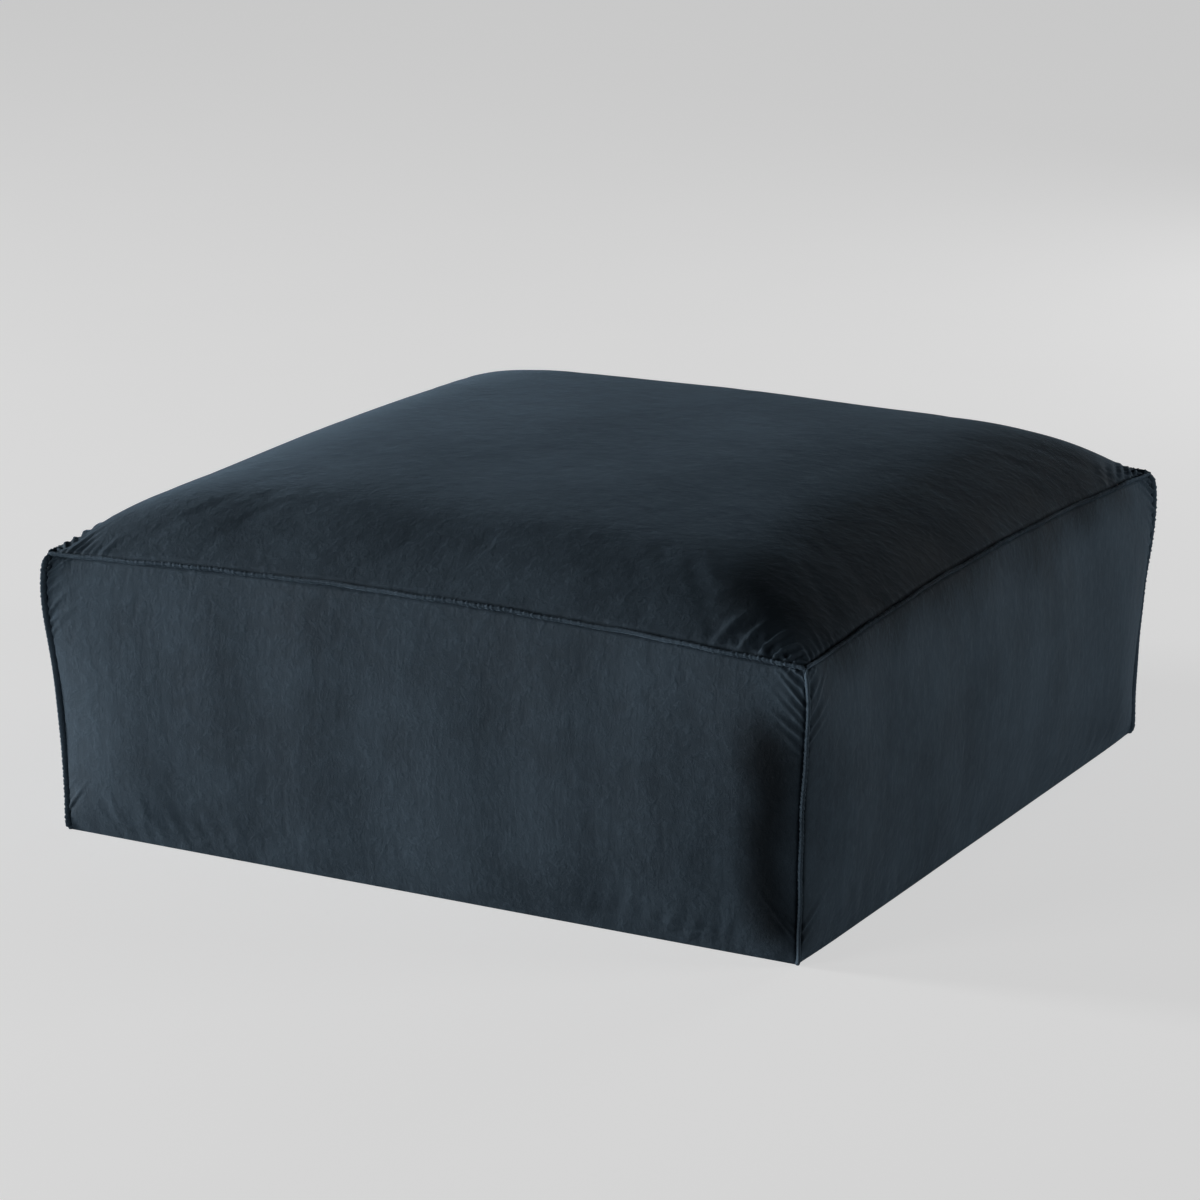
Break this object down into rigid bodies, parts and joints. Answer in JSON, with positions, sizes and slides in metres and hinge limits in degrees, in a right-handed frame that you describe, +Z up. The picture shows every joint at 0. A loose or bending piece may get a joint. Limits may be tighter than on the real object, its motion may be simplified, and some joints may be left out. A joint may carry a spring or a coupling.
{
  "type": "floor cushion",
  "caption": "Large square boxed floor cushion with a crowned top, ridged seams and a zipped back, for sitting on or resting feet on.",
  "frame": {"origin": "on the floor, under the centre of the cushion", "axes": "+Z up, -Y towards the front, +Y towards the zipped back, +X to the right"},
  "size_m": [1.028, 1.028, 0.435],
  "materials": {
    "velvet": "matte",
    "velvet_welt": "matte",
    "base_cloth": "matte",
    "zip_tape": "matte",
    "zip_teeth": "satin",
    "zip_metal": "satin",
    "ticking": "matte",
    "fibre": "matte",
    "soft_foam": "matte",
    "core_foam": "matte",
    "firm_foam": "matte"
  },
  "bodies": {
    "cushion": {"cover_top": "velvet", "cover_front": "velvet", "cover_right": "velvet", "cover_left": "velvet", "cover_back_upper": "velvet", "cover_back_lower": "velvet", "top_welt_front": "velvet_welt", "top_welt_right": "velvet_welt", "top_welt_back": "velvet_welt", "top_welt_left": "velvet_welt", "corner_welt_front_right": "velvet_welt", "corner_welt_back_right": "velvet_welt", "corner_welt_back_left": "velvet_welt", "corner_welt_front_left": "velvet_welt", "cover_base": "base_cloth", "zip_tape_upper": "zip_tape", "zip_tape_lower": "zip_tape", "zip_teeth_upper": "zip_teeth", "zip_teeth_lower": "zip_teeth", "zip_stops": "zip_metal", "liner_top": "ticking", "liner_boxing": "ticking", "liner_base": "ticking", "fibre_topper": "fibre", "side_wadding": "fibre", "comfort_foam": "soft_foam", "core_foam": "core_foam", "base_foam": "firm_foam"},
    "zip_slider": {"zip_slider": "zip_metal"},
    "zip_pull": {"zip_pull": "zip_metal"}
  },
  "joints": [
    {"name": "zip_slide", "type": "slide", "parent": "cushion", "child": "zip_slider", "axis": [-1, 0, 0], "range_m": [0, 0.856]},
    {"name": "zip_pull_swing", "type": "hinge", "parent": "zip_slider", "child": "zip_pull", "pos_m": [0.428, 0.51145, 0.19], "axis": [0, 0, -1], "range_deg": [0, 180]}
  ]
}
